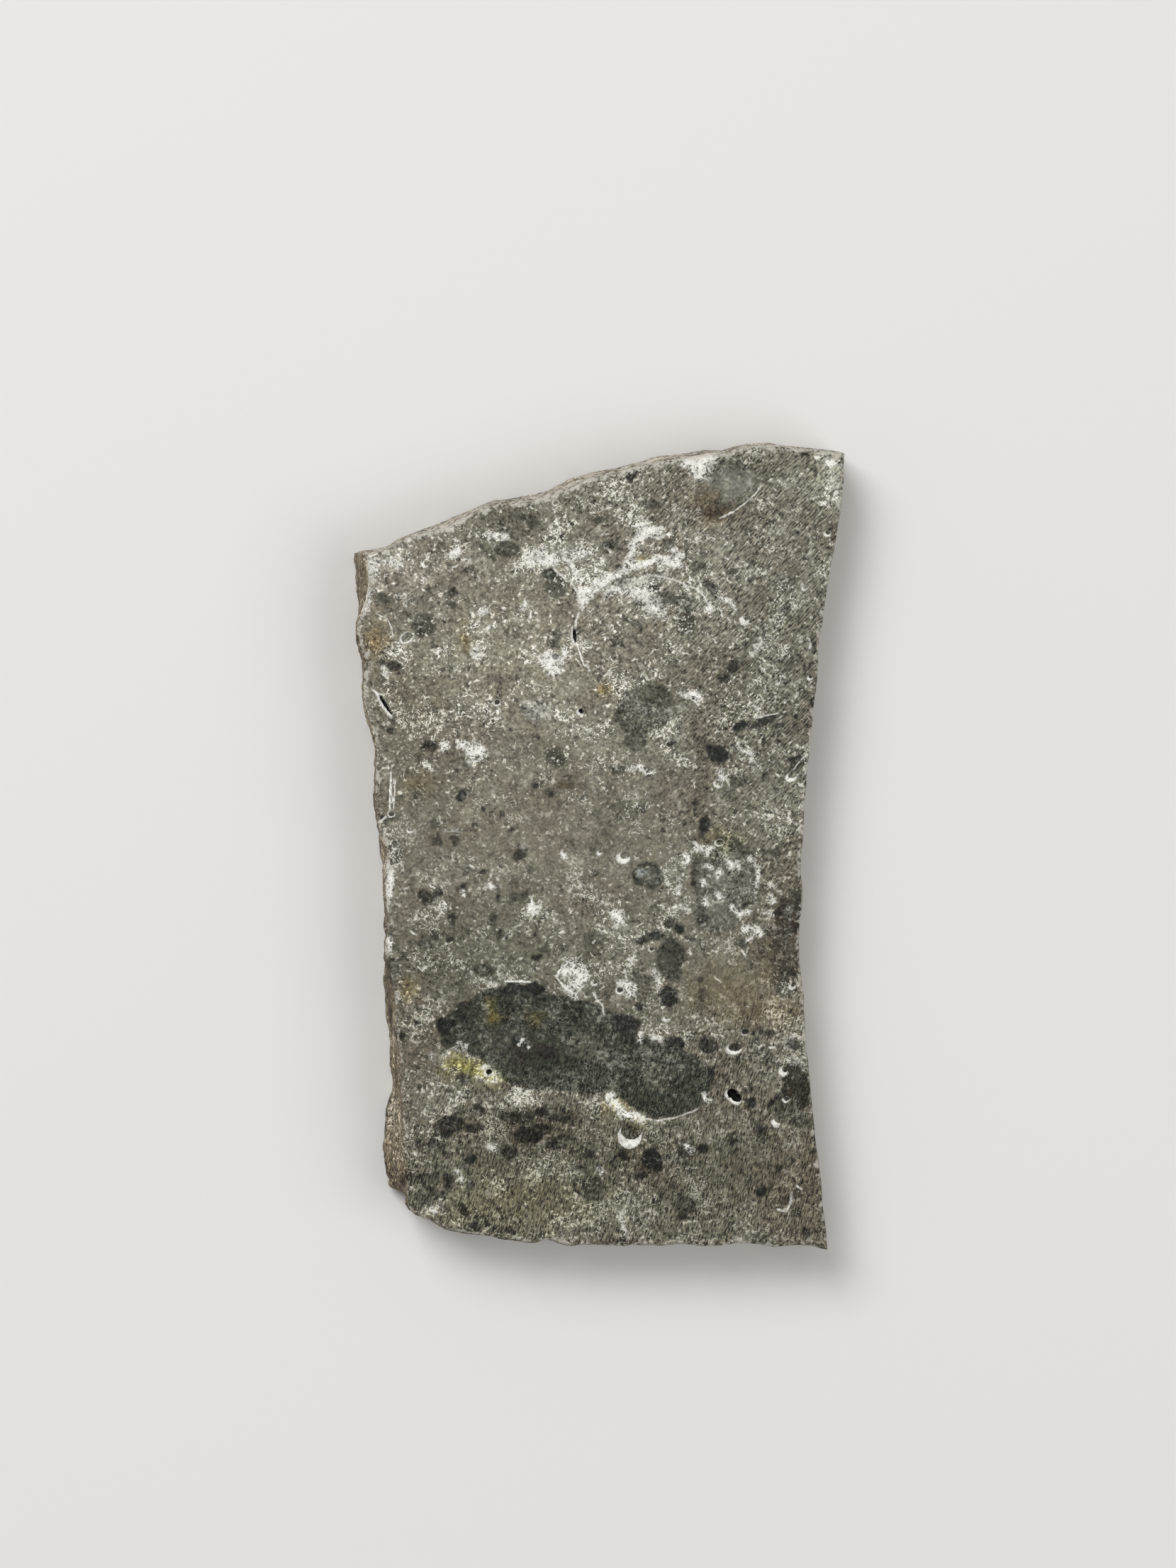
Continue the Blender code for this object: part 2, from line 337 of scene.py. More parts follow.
BLUE_BLACK = (0.036, 0.040, 0.029)
SLATE = (0.066, 0.067, 0.050)
CHARCOAL = (0.026, 0.024, 0.019)
BROWN_BLACK = (0.022, 0.018, 0.012)
NIGHT = (0.012, 0.014, 0.012)
DARK_GREY = (0.062, 0.058, 0.043)
MID_GREY = (0.120, 0.110, 0.083)
PALE_GREY = (0.230, 0.220, 0.185)
SMOKE_BLUE = (0.108, 0.107, 0.084)
OLIVE = (0.150, 0.132, 0.050)
EGG_PALE = (0.21, 0.22, 0.21)
EGG_DARK = (0.050, 0.050, 0.038)
DISC_GREY = (0.066, 0.062, 0.045)
PEBBLE_GREY = (0.106, 0.105, 0.082)
EARTH_BLACK = (0.060, 0.050, 0.030)
RUST_BLACK = (0.048, 0.039, 0.028)
BARK_GREY = (0.080, 0.072, 0.053)
EYE_RIM = (0.098, 0.091, 0.068)
EYE_GREY = (0.150, 0.147, 0.119)

# The two fragments with corners of their own, as outlines in the photo's pixels
BIG_CLAST = (
    (618, 1448), (630, 1430), (655, 1418), (680, 1396), (711, 1388), (766, 1389), (771, 1404),
    (805, 1407), (833, 1412), (848, 1424), (862, 1427), (886, 1440), (900, 1462), (925, 1470),
    (950, 1468), (967, 1484), (991, 1500), (1010, 1522), (1000, 1545), (991, 1563), (960, 1577),
    (924, 1579), (896, 1566), (877, 1553), (833, 1546), (786, 1538), (738, 1536), (700, 1518),
    (676, 1494), (645, 1480), (622, 1476),
)
GREY_CLAST = (
    (995, 655), (1030, 648), (1062, 655), (1070, 680), (1055, 700), (1035, 718), (1018, 729),
    (1008, 742), (988, 728), (978, 700), (982, 672),
)

# Rounder fragments, by colour, the first laid down first: middle, length and width in the photo's
# pixels, and turn in degrees
CLASTS = (
    (SLATE, ((862, 770, 30, 14, 0), (931, 845, 50, 24, 0), (965, 850, 34, 28, -30),
        (873, 1083, 22, 12, 0), (700, 1470, 44, 30, 10), (830, 1480, 60, 40, -20),
        (925, 1520, 50, 36, -30), (1046, 1332, 18, 14, 0), (835, 1685, 34, 28, 0))),
    (BLUE_BLACK, ((912, 1236, 47, 38, -12), (774, 810, 20, 16, 0), (845, 733, 14, 9, 20))),
    (PALE_GREY, ((950, 1640, 28, 15, -5),)),
    (DISC_GREY, ((910, 1000, 92, 70, 15),)),
    (OLIVE, ((908, 790, 25, 12, 0),)),
    (EARTH_BLACK, ((798, 1108, 28, 10, 0),)),
    (SMOKE_BLUE, ((909, 1233, 30, 20, -10),)),
    (EGG_PALE, ((907, 1233, 15, 10, -10),)),
    (EYE_GREY, ((1030, 682, 66, 52, 30),)),
    (RUST_BLACK, ((1111, 1300, 38, 70, 5),)),
    (BARK_GREY, ((1110, 1352, 44, 60, 0),)),
    (CHARCOAL, ((604, 1264, 27, 25, 0), (617, 1256, 14, 12, 0), (735, 1205, 24, 16, 30),
        (723, 1170, 12, 9, 20), (965, 1164, 9, 8, 0), (1034, 943, 21, 18, 0), (1018, 957, 18, 14, 0),
        (1080, 1018, 44, 14, 28), (1124, 1076, 24, 16, 20), (1100, 1025, 14, 10, 0),
        (640, 836, 16, 14, 0), (588, 881, 14, 10, 0), (607, 1051, 22, 13, -10), (684, 1139, 8, 9, 0),
        (776, 1117, 14, 12, 0), (757, 1107, 10, 9, 0), (872, 800, 10, 8, 0), (901, 755, 12, 12, 0),
        (1003, 828, 26, 12, -40), (948, 1048, 14, 10, 0), (703, 1267, 10, 9, 0), (653, 1250, 9, 9, 0),
        (680, 1230, 12, 9, 0), (636, 1322, 12, 9, 0), (717, 1323, 11, 6, 25), (590, 1438, 14, 10, 0),
        (654, 1416, 20, 9, 15), (655, 1522, 24, 15, -20), (634, 1586, 44, 26, 8), (668, 1592, 28, 14, 0),
        (793, 1577, 44, 15, -8), (745, 1602, 46, 20, -5), (786, 1613, 38, 18, 8), (766, 1590, 40, 11, -8),
        (832, 1630, 20, 14, 0), (881, 1634, 16, 12, 0), (903, 1420, 14, 12, 0), (947, 1303, 22, 13, -20),
        (940, 1333, 18, 10, 0), (770, 1482, 40, 20, -20), (1000, 1478, 30, 22, -20), (990, 1383, 8, 6, 0),
        (1027, 1529, 8, 6, 0), (974, 1329, 10, 8, 0), (1089, 1562, 12, 12, 0), (1118, 1375, 14, 10, 0),
        (1079, 1459, 42, 9, -6), (1122, 1478, 26, 14, 0), (1077, 1597, 18, 15, 0), (905, 1662, 18, 15, 0),
        (1097, 1656, 13, 10, 0), (1119, 1646, 6, 8, 0), (1138, 1748, 16, 16, 0), (632, 1668, 14, 30, -10),
        (672, 1730, 22, 14, -30), (718, 1736, 14, 12, 0), (553, 1030, 14, 14, 0), (543, 1155, 8, 10, 0),
        (892, 672, 18, 12, 30), (980, 1135, 9, 7, 0))),
    (NIGHT, ((993, 1167, 16, 28, -8), (1012, 1064, 36, 24, -33), (1046, 1025, 22, 15, 40),
        (652, 1121, 14, 18, 0), (657, 1078, 7, 6, 0), (726, 1394, 34, 19, 0), (753, 1395, 34, 19, -4),
        (630, 1601, 22, 7, 0), (661, 1633, 16, 14, 0), (943, 1407, 27, 30, 0), (926, 1320, 28, 13, 10),
        (960, 1312, 18, 14, 0), (882, 1446, 40, 30, -10), (628, 1446, 32, 24, 0), (655, 1437, 14, 11, 0),
        (736, 1472, 26, 24, 0), (953, 1475, 32, 20, -20), (1004, 1519, 11, 22, 25),
        (1061, 1561, 17, 14, 0), (992, 1625, 20, 16, 0), (922, 1640, 26, 34, 30),
        (1076, 1688, 18, 16, 0))),
    (EGG_DARK, ((946, 1356, 40, 66, 5),)),
    (DARK_GREY, ((682, 1368, 30, 16, 0), (600, 1330, 18, 10, 0), (898, 1045, 34, 26, 0),
        (1034, 1057, 14, 12, 0), (786, 893, 16, 14, 0), (780, 908, 20, 14, 20), (742, 735, 40, 22, -15),
        (716, 773, 34, 22, 0), (945, 770, 22, 16, -20), (900, 880, 20, 14, 0), (985, 800, 20, 14, 0),
        (915, 1090, 16, 10, 0), (1043, 1105, 30, 18, 20), (1025, 1118, 20, 12, 0),
        (733, 1265, 28, 16, 10), (695, 1297, 12, 22, 10), (660, 1230, 14, 12, 0), (633, 1540, 14, 10, 0),
        (622, 1622, 26, 18, -20), (824, 1651, 18, 14, 0), (602, 1684, 40, 24, 20), (790, 1610, 26, 20, 0),
        (1125, 1272, 18, 30, 0), (1130, 1590, 34, 22, 0), (868, 1643, 14, 12, 0),
        (967, 1706, 36, 26, -10), (1110, 1703, 20, 18, 0), (812, 1650, 16, 12, 0), (600, 1660, 44, 16, 0),
        (540, 930, 12, 10, 0), (548, 845, 24, 14, 0), (554, 1012, 10, 20, 20), (918, 712, 20, 14, 0),
        (1085, 905, 12, 10, 0), (1066, 902, 14, 16, 0), (1108, 862, 16, 12, 0), (1018, 845, 14, 9, -30),
        (1055, 1200, 9, 12, 0), (640, 1235, 10, 8, 0), (1096, 1205, 18, 12, 0))),
    (BROWN_BLACK, ((758, 1350, 13, 11, 0), (566, 1460, 18, 12, 0), (716, 1574, 34, 14, 0),
        (679, 1562, 24, 13, -30), (765, 1567, 20, 12, 0), (716, 1627, 24, 22, -20), (905, 1327, 22, 9, 0),
        (1124, 1538, 40, 72, 8), (1037, 1613, 14, 10, 0), (966, 1722, 18, 10, 0), (653, 1706, 14, 22, 30),
        (876, 1755, 16, 9, 0), (555, 1152, 10, 8, 0))),
    (MID_GREY, ((665, 803, 14, 22, -25), (720, 745, 60, 30, -12), (919, 762, 18, 10, 0),
        (890, 1600, 32, 30, 0), (620, 787, 18, 14, 0), (590, 845, 26, 18, 0), (790, 1150, 16, 10, 0))),
    (CHARCOAL, ((614, 1610, 16, 12, 0), (733, 1488, 22, 30, 0), (556, 937, 26, 14, -8),
        (1128, 1300, 12, 60, 0))),
    (DARK_GREY, ((1110, 1567, 40, 28, 0),)),
)

# Large pale fragments, which lie under all of these: middle, length, width, turn and colour
PALE_CLASTS = (
    (1024, 1238, 98, 112, 8, DARK_GREY), (1021, 1244, 80, 90, 0, PEBBLE_GREY),
    (1012, 1290, 66, 58, 0, SMOKE_BLUE), (757, 1000, 46, 30, 5, PALE_GREY),
    (906, 1384, 34, 56, 0, MID_GREY), (1060, 1500, 70, 44, -10, MID_GREY),
    (1015, 849, 12, 7, -35, PALE_GREY), (948, 1639, 26, 12, -5, PALE_GREY),
    (700, 1720, 80, 26, -10, MID_GREY), (1060, 1610, 90, 30, 6, MID_GREY),
    (840, 1180, 90, 60, 20, MID_GREY), (880, 905, 50, 20, 0, MID_GREY), (905, 818, 60, 14, 10, PALE_GREY),
    (560, 1355, 30, 40, 0, MID_GREY),
)

# White crushed feldspar, in streaks: half width in pixels, strength, and the places along the
# streak, across and down by turns
WHITE_STREAKS = (
    (4.8, 1.0, 819, 840, 838, 833, 858, 817, 880, 803, 900, 796, 925, 790, 948, 794),
    (5.2, 0.9, 880, 803, 892, 784, 888, 770, 900, 762, 912, 752, 930, 748),
    (3, 0.8, 900, 762, 915, 756, 930, 760, 945, 752), (4, 0.6, 905, 755, 898, 742, 912, 738),
    (6.4, 0.8, 858, 817, 845, 826, 830, 842, 822, 852), (5, 0.8, 948, 794, 955, 782, 948, 776),
    (4, 0.8, 948, 794, 962, 801), (9, 0.65, 860, 836, 885, 832, 905, 838, 912, 846),
    (10, 0.75, 918, 856, 932, 862), (2, 0.6, 925, 812, 950, 818, 972, 828, 984, 832),
    (2, 0.8, 984, 832, 993, 842, 1000, 855, 1001, 860), (5, 0.9, 1001, 859, 999, 862),
    (11, 0.80, 752, 788, 762, 783, 774, 790), (10, 0.70, 803, 785, 812, 779, 822, 781),
    (7, 0.6, 803, 798, 812, 806), (3, 0.7, 782, 803, 792, 812, 806, 822, 816, 838),
    (9, 1.0, 776, 930, 779, 940, 782, 946), (5, 0.7, 772, 932, 764, 931), (4, 0.6, 790, 932, 796, 914),
    (9, 1.0, 664, 1055, 668, 1066, 677, 1060), (5, 0.8, 658, 1050, 650, 1050),
    (5, 0.8, 631, 1052, 628, 1055), (11, 1.1, 985, 653, 990, 664), (8, 0.9, 968, 654, 1003, 648),
    (4, 0.9, 983, 668, 984, 672), (6, 1.0, 643, 780, 647, 774), (4, 0.75, 690, 756, 702, 756, 716, 758),
    (2, 0.7, 640, 800, 645, 798), (4, 0.9, 688, 860, 680, 862), (3.5, 1.0, 691, 883, 687, 888),
    (4, 0.7, 740, 850, 738, 860), (6, 0.65, 672, 915, 668, 920, 674, 930), (4, 0.6, 660, 790, 664, 796),
    (9, 0.6, 520, 800, 530, 808), (6, 0.8, 526, 838, 518, 850, 516, 862),
    (5, 0.55, 565, 840, 580, 848, 572, 850), (10, 0.5, 532, 790, 560, 796), (6, 1.1, 979, 980, 984, 986),
    (6, 0.6, 962, 978, 970, 985), (5, 0.95, 898, 1082, 908, 1086, 918, 1088),
    (4, 0.6, 888, 1085, 900, 1083), (6, 0.55, 1043, 1058, 1060, 1062, 1068, 1083),
    (6, 0.55, 1015, 1090, 1018, 1098), (4, 0.6, 1020, 842, 1030, 850, 1036, 862),
    (6, 0.5, 1072, 910, 1062, 925), (5, 0.55, 960, 1245, 958, 1262), (6, 0.8, 980, 1195, 992, 1200),
    (4, 0.75, 966, 1208, 972, 1216), (4, 0.95, 998, 1222, 1005, 1227), (4, 0.95, 1016, 1232, 1011, 1240),
    (3.6, 0.9, 1028, 1218, 1032, 1224), (3.8, 0.8, 990, 1246, 994, 1252),
    (4, 0.8, 1000, 1204, 1006, 1198), (3.8, 0.6, 1058, 1212, 1067, 1224, 1070, 1240, 1064, 1262),
    (4, 0.8, 1014, 1262, 1018, 1267), (3.6, 0.7, 1041, 1221, 1043, 1226),
    (4, 0.85, 997, 1271, 1000, 1276), (4.4, 0.9, 1033, 1280, 1048, 1294, 1058, 1290),
    (4, 0.7, 1086, 1268, 1090, 1276), (4.8, 0.9, 1050, 1314, 1066, 1312, 1074, 1318),
    (6, 0.95, 868, 1288, 876, 1294, 872, 1303), (4, 0.5, 1085, 1250, 1100, 1262),
    (4, 0.6, 1052, 1330, 1062, 1322), (4, 0.55, 1080, 1290, 1090, 1296), (5, 0.6, 970, 1288, 962, 1280),
    (3, 1.0, 746, 1284, 752, 1278, 762, 1280), (3, 1.0, 750, 1268, 753, 1280, 752, 1290),
    (5, 0.7, 748, 1280, 756, 1282), (4, 0.9, 690, 1250, 694, 1253), (4, 0.9, 652, 1258, 654, 1262),
    (4.5, 0.8, 624, 1277, 626, 1283), (4, 0.9, 795, 1206, 796, 1210), (2, 1.0, 608, 1248, 613, 1251),
    (2, 0.7, 664, 1220, 668, 1222), (5, 0.45, 630, 1168, 650, 1172), (5, 0.7, 600, 1075, 606, 1082),
    (9, 1.0, 808, 1366, 818, 1374, 814, 1384), (2.4, 0.9, 793, 1362, 785, 1378, 794, 1392, 806, 1400),
    (6, 0.9, 800, 1392, 812, 1404), (5, 0.9, 822, 1368, 828, 1382), (5, 0.8, 798, 1372, 802, 1366),
    (2.2, 0.6, 839, 1402, 843, 1412, 850, 1420, 852, 1432), (6, 0.9, 878, 1390, 892, 1396, 888, 1402),
    (3, 0.8, 882, 1372, 884, 1386), (5, 0.6, 922, 1370, 926, 1384, 930, 1394),
    (4, 0.5, 893, 1352, 890, 1360), (4, 0.8, 904, 1462, 904, 1470), (5, 0.6, 922, 1466, 930, 1468),
    (4, 0.9, 1000, 1556, 994, 1548), (5, 0.7, 968, 1622, 974, 1628), (4, 0.6, 700, 1388, 690, 1388),
    (2.5, 1.0, 714, 1384, 730, 1384, 748, 1385), (4, 0.6, 648, 1470, 658, 1474),
    (5, 0.5, 610, 1490, 606, 1486), (5, 0.6, 690, 1617, 696, 1622),
    (3, 0.8, 1100, 1714, 1110, 1716, 1117, 1706, 1118, 1692), (2.2, 0.9, 1018, 731, 1035, 722),
    (1.3, 0.8, 1035, 722, 1052, 710), (1.4, 0.9, 1052, 710, 1066, 697, 1073, 688),
    (2.2, 0.9, 1069, 692, 1074, 686), (4, 0.6, 876, 1722, 886, 1748), (3, 0.95, 530, 973, 537, 982),
    (1.5, 0.9, 536, 984, 549, 1005, 555, 1008), (2.2, 1.0, 553, 1089, 552, 1112, 551, 1139),
    (1.6, 0.8, 559, 1100, 558, 1118, 556, 1138), (3, 0.8, 545, 1152, 538, 1158),
    (3, 0.9, 550, 1206, 549, 1222), (5, 0.85, 553, 1228, 551, 1242, 549, 1258),
    (2, 0.9, 555, 1226, 552, 1246), (3, 0.7, 545, 1272, 549, 1278), (4, 0.7, 551, 1326, 548, 1340),
    (1.5, 0.8, 535, 866, 548, 872, 554, 884, 556, 896), (4, 0.7, 542, 940, 546, 950),
    (2.5, 0.75, 816, 866, 812, 880, 811, 888), (2, 0.9, 814, 908, 818, 922, 824, 938, 832, 945, 829, 937),
    (1.6, 0.8, 1122, 1085, 1129, 1075, 1141, 1067), (1.6, 0.7, 1068, 1014, 1084, 1010, 1097, 1008),
    (6, 0.5, 1168, 651, 1185, 658), (8, 0.35, 1165, 655, 1175, 680, 1186, 700),
    (3, 0.6, 1142, 903, 1144, 916), (1.6, 1.0, 592, 1364, 596, 1368, 601, 1364),
    (2.2, 0.8, 581, 1313, 587, 1317), (2, 0.7, 1012, 1384, 1016, 1387),
    (2.2, 0.8, 1049, 1346, 1051, 1349), (6, 0.55, 605, 1704, 614, 1708, 620, 1703),
    (4, 0.55, 645, 1652, 650, 1666), (4, 0.6, 845, 1650, 850, 1656),
    (18, 0.30, 885, 985, 905, 1000, 935, 1012), (14, 0.28, 1105, 1470, 1128, 1500),
    (13, 0.27, 1112, 1262, 1116, 1300, 1112, 1336), (12, 0.25, 650, 1545, 740, 1550, 800, 1552),
    (4, 0.50, 628, 1486, 638, 1480, 652, 1482, 664, 1490), (4, 0.45, 625, 1492, 628, 1506),
    (4, 0.55, 676, 1506, 690, 1508, 703, 1514), (4, 0.60, 672, 1518, 684, 1526, 700, 1524),
    (2.5, 0.9, 1088, 1482, 1092, 1482), (6, 1.0, 862, 1550, 870, 1562, 880, 1574, 902, 1580),
    (2, 0.6, 902, 1581, 930, 1584, 955, 1580, 984, 1569), (2, 0.8, 1126, 1680, 1131, 1684),
)

# Soft patches, some tinted, some lighter or darker: middle, reach across and up in pixels, and the
# colour that multiplies the stone's; the broad grey ones lighten the upper end and darken the lower end
TONE_PATCHES = (
    (756, 1605, 52, 24, (0.52, 0.50, 0.48)), (590, 1480, 34, 80, (0.82, 0.80, 0.78)),
    (1112, 1330, 40, 70, (0.80, 0.76, 0.72)), (915, 1640, 34, 26, (0.66, 0.60, 0.54)),
    (531, 902, 15, 19, (1.08, 0.88, 0.62)), (656, 904, 7, 16, (0.62, 0.55, 0.38)),
    (643, 1498, 20, 15, (1.34, 1.32, 0.68)), (669, 1510, 13, 8, (1.3, 1.3, 0.76)),
    (691, 1518, 15, 9, (3.6, 3.7, 2.5)), (694, 1424, 8, 14, (1.9, 1.6, 0.8)),
    (752, 1437, 13, 10, (2.2, 1.9, 1.3)), (700, 1437, 10, 7, (2.3, 1.8, 1.2)),
    (872, 1562, 15, 12, (1.6, 1.55, 1.05)), (897, 1580, 13, 7, (1.15, 1.12, 0.75)),
    (578, 1394, 11, 14, (1.7, 1.55, 1.15)), (1030, 1405, 60, 40, (0.97, 0.93, 0.80)),
    (1100, 1432, 45, 30, (0.97, 0.93, 0.84)), (722, 1700, 110, 45, (1.16, 1.14, 1.02)),
    (1005, 728, 20, 13, (0.74, 0.62, 0.48)), (1000, 706, 20, 16, (0.95, 0.86, 0.72)),
    (850, 975, 9, 8, (1.35, 1.10, 0.65)), (590, 1100, 18, 14, (0.95, 0.88, 0.74)),
    (1008, 1190, 30, 16, (0.96, 0.92, 0.72)), (555, 805, 60, 30, (1.75, 1.75, 1.85)),
    (1172, 668, 26, 40, (1.95, 2.05, 2.15)), (712, 925, 176, 132, (1.46, 1.46, 1.48)),
    (575, 1000, 50, 70, (0.84, 0.83, 0.80)), (930, 820, 130, 75, (1.35, 1.36, 1.40)),
    (660, 1360, 130, 70, (0.76, 0.77, 0.75)), (595, 1100, 42, 120, (0.93, 0.93, 0.92)),
    (900, 1400, 140, 50, (0.90, 0.90, 0.90)), (850, 1660, 400, 120, (0.66, 0.66, 0.62)),
    (1130, 1690, 90, 110, (0.80, 0.76, 0.70)), (1110, 960, 70, 180, (0.88, 0.89, 0.90)),
    (1110, 1280, 50, 90, (0.74, 0.72, 0.68)), (600, 1230, 70, 160, (0.95, 0.94, 0.94)),
    (770, 1190, 170, 95, (1.15, 1.15, 1.15)), (780, 1590, 200, 30, (0.92, 0.90, 0.86)),
    (1000, 1230, 70, 60, (1.05, 1.07, 1.09)),
)

TINY = 1e-9                     # keeps a sum of squares or a step from being nothing


def oval_depth(x, y, px, py, length, width, turn):
    """How deep each place is inside an oval, in millimetres, below zero outside: one minus the
    distance from its middle in half lengths and half widths, times the smaller half."""
    a, b = oval_place(x, y, px, py, length, width, turn)
    return (1 - np.hypot(a, b)) * min(length, width) / 2 / PIXELS_ALONG


def from_run(x, y, x0, y0, x1, y1):
    """How far each place is from a straight run: from the run's own place that is nearest to it,
    which is the share t of the way along, held between the run's two ends."""
    dx, dy = x1 - x0, y1 - y0
    t = np.clip(((x - x0) * dx + (y - y0) * dy) / max(dx * dx + dy * dy, TINY), 0, 1)
    return np.hypot(x - x0 - t * dx, y - y0 - t * dy)


def outline_depth(x, y, corners):
    """How deep each place is inside a closed outline, in millimetres, below zero outside: the
    distance to its nearest side, with the sign of a count of the sides passed on the way out."""
    cx, cy = on_face(*np.array(corners, float).T)
    nearest = np.full(len(x), np.inf)
    inside = np.zeros(len(x), bool)
    for x0, y0, x1, y1 in zip(cx, cy, np.roll(cx, -1), np.roll(cy, -1)):
        nearest = np.minimum(nearest, from_run(x, y, x0, y0, x1, y1))
        inside ^= ((y0 > y) != (y1 > y)) & (x < (x1 - x0) * (y - y0) / (y1 - y0 or TINY) + x0)
    return np.where(inside, nearest, -nearest)


def streak_strength(x, y, cx, cy, half_width, strength):
    """Strength of a white streak: full on its line and fading to nothing at twice its half width."""
    nearest = np.full(len(x), np.inf)
    for x0, y0, x1, y1 in zip(cx, cy, cx[1:], cy[1:]):
        nearest = np.minimum(nearest, from_run(x, y, x0, y0, x1, y1))
    return strength * np.clip(1 - nearest / (2 * half_width / PIXELS_ALONG), 0, 1)


# The fragments go on into the stone, so places below the front face are read a little askew, and
# a fragment shrinks with depth: small ones end inside the wall, and large ones reach the back.
LEAN = (0.35, -0.25)
SHRINK = 0.10
FRONT_LAYER = 0.4               # places less deep than this count as the front face's own
below = (FACE_TOP - points[:, 2]) / MM
below = np.where(below < FRONT_LAYER, 0, below)
on_front = below == 0
x_mm = points[:, 0] / MM + LEAN[0] * below
y_mm = points[:, 1] / MM + LEAN[1] * below

# Broken edges: every place is read a little to one side of itself, by an amount that wanders
TORN = 0.075
torn_x = x_mm + TORN * lattice_noise(points, 0.42 * MM, 3, seed=21)
torn_y = y_mm + TORN * lattice_noise(points, 0.42 * MM, 3, seed=22)

clast_depth = np.full(len(points), -1.0)
clast_colour = np.tile(np.array(MID_GREY), (len(points), 1))
pieces = [(oval_depth(torn_x, torn_y, *oval), colour) for *oval, colour in PALE_CLASTS]
pieces += [(outline_depth(torn_x, torn_y, BIG_CLAST), BLUE_BLACK),
           (outline_depth(torn_x, torn_y, GREY_CLAST), EYE_RIM)]
pieces += [(oval_depth(torn_x, torn_y, *oval), colour) for colour, group in CLASTS for oval in group]
for depth, colour in pieces:
    depth = depth - SHRINK * below
    clast_colour[depth > np.minimum(clast_depth, 0)] = colour
    clast_depth = np.maximum(clast_depth, depth)

# White streaks wider than this many pixels are filled areas. Thinner ones are kept as the signed
# offset from their own line, in half widths, which stays sharp between the points of the surface.
THIN = 3.5
LINE_SHARE = 0.65               # of the half width, where a thin line's edge lies
LINE_REACH, END_REACH = 0.11, 0.05  # millimetres beside and beyond a thin line, in which it fades
white = np.zeros(len(points))
nearest_line = np.full(len(points), 9.0)
line_offset = np.full(len(points), 9.0)
line_strength = np.zeros(len(points))
for half_width, strength, *places in WHITE_STREAKS:
    cx, cy = on_face(places[::2], places[1::2])
    if half_width > THIN:
        white = np.maximum(white, streak_strength(torn_x, torn_y, cx, cy, half_width, strength))
        continue
    for x0, y0, x1, y1 in zip(cx, cy, cx[1:], cy[1:]):
        run = math.hypot(x1 - x0, y1 - y0)
        along = ((x_mm - x0) * (x1 - x0) + (y_mm - y0) * (y1 - y0)) / run
        offset = ((y_mm - y0) * (x1 - x0) - (x_mm - x0) * (y1 - y0)) / run
        beyond = np.maximum(0, np.maximum(-along, along - run))
        away = np.hypot(offset, beyond)
        closer = away < nearest_line
        nearest_line[closer] = away[closer]
        line_offset[closer] = (offset / (LINE_SHARE * half_width / PIXELS_ALONG))[closer]
        taper = np.clip(2 - away / LINE_REACH, 0, 1) * np.clip(1.4 - beyond / END_REACH, 0, 1)
        line_strength[closer] = (strength * taper)[closer]
white = white * on_front
line_strength = line_strength * on_front

# Small bubbles with a bright broken lip and a hollow of painted shade: middle, length and width over
# the lip in the photo's pixels, turn, the lip's share of the width, how far the hollow has slipped
# towards the upper right in widths of the lip (over a half leaves the lip open there), which leaves a
# painted highlight on the lip's lower left, and the tone inside, which below 1 is painted shade
BUBBLES = (
    (1036, 1484, 23, 15, 0, 0.28, 0.80, 0.25), (879, 1211, 19, 17, 0, 0.34, 0.85, 0.80),
    (575, 899, 20, 15, 35, 0.22, 0.40, 0.70), (1167, 754, 10, 9, 0, 0.40, 0.70, 0.90),
    (1135, 831, 8, 7, 0, 0.40, 0.60, 0.80), (1143, 958, 8, 7, 0, 0.40, 0.70, 0.80),
    (1116, 1099, 17, 13, 12, 0.36, 0.95, 0.95), (784, 710, 10, 9, 0, 0.26, 0.40, 0.90),
    (579, 1170, 10, 8, 0, 0.30, 0.60, 0.80), (1052, 1460, 12, 9, 0, 0.12, 0.70, 0.22),
    (1110, 1557, 10, 8, 0, 0.30, 0.60, 0.60), (1106, 1517, 14, 12, -30, 0.40, 0.90, 0.80),
    (1095, 1590, 13, 10, -40, 0.46, 0.95, 1.00), (1013, 1107, 13, 12, 0, 0.20, 0.80, 1.00),
    (1015, 1191, 13, 10, 0, 0.20, 0.60, 1.20), (764, 929, 8, 8, 0, 0.30, 0.40, 0.80),
    (783, 927, 12, 11, 0, 0.16, 0.60, 0.35), (874, 1399, 12, 11, 0, 0.26, 0.50, 0.20),
    (701, 991, 10, 9, 0, 0.26, 0.50, 0.22), (846, 1204, 8, 7, 0, 0.40, 0.90, 1.00),
    (1050, 876, 13, 12, 20, 0.40, 0.95, 0.80), (940, 1440, 11, 8, 0, 0.40, 0.90, 0.90),
    (1118, 1396, 8, 8, 0, 0.40, 0.90, 0.80), (919, 1341, 8, 7, 0, 0.24, 0.50, 0.25),
    (553, 1147, 10, 9, 0, 0.24, 0.50, 0.60), (838, 1388, 9, 8, 0, 0.34, 0.60, 0.50),
    (795, 1204, 8, 9, 0, 0.40, 0.60, 0.70), (551, 1326, 9, 12, 0, 0.40, 0.60, 0.90),
    (737, 1467, 5, 5, 0, 0.80, 0.60, 1.00), (732, 1474, 4, 4, 0, 0.80, 0.60, 1.00),
    (746, 1478, 4, 4, 0, 0.80, 0.60, 1.00),
)
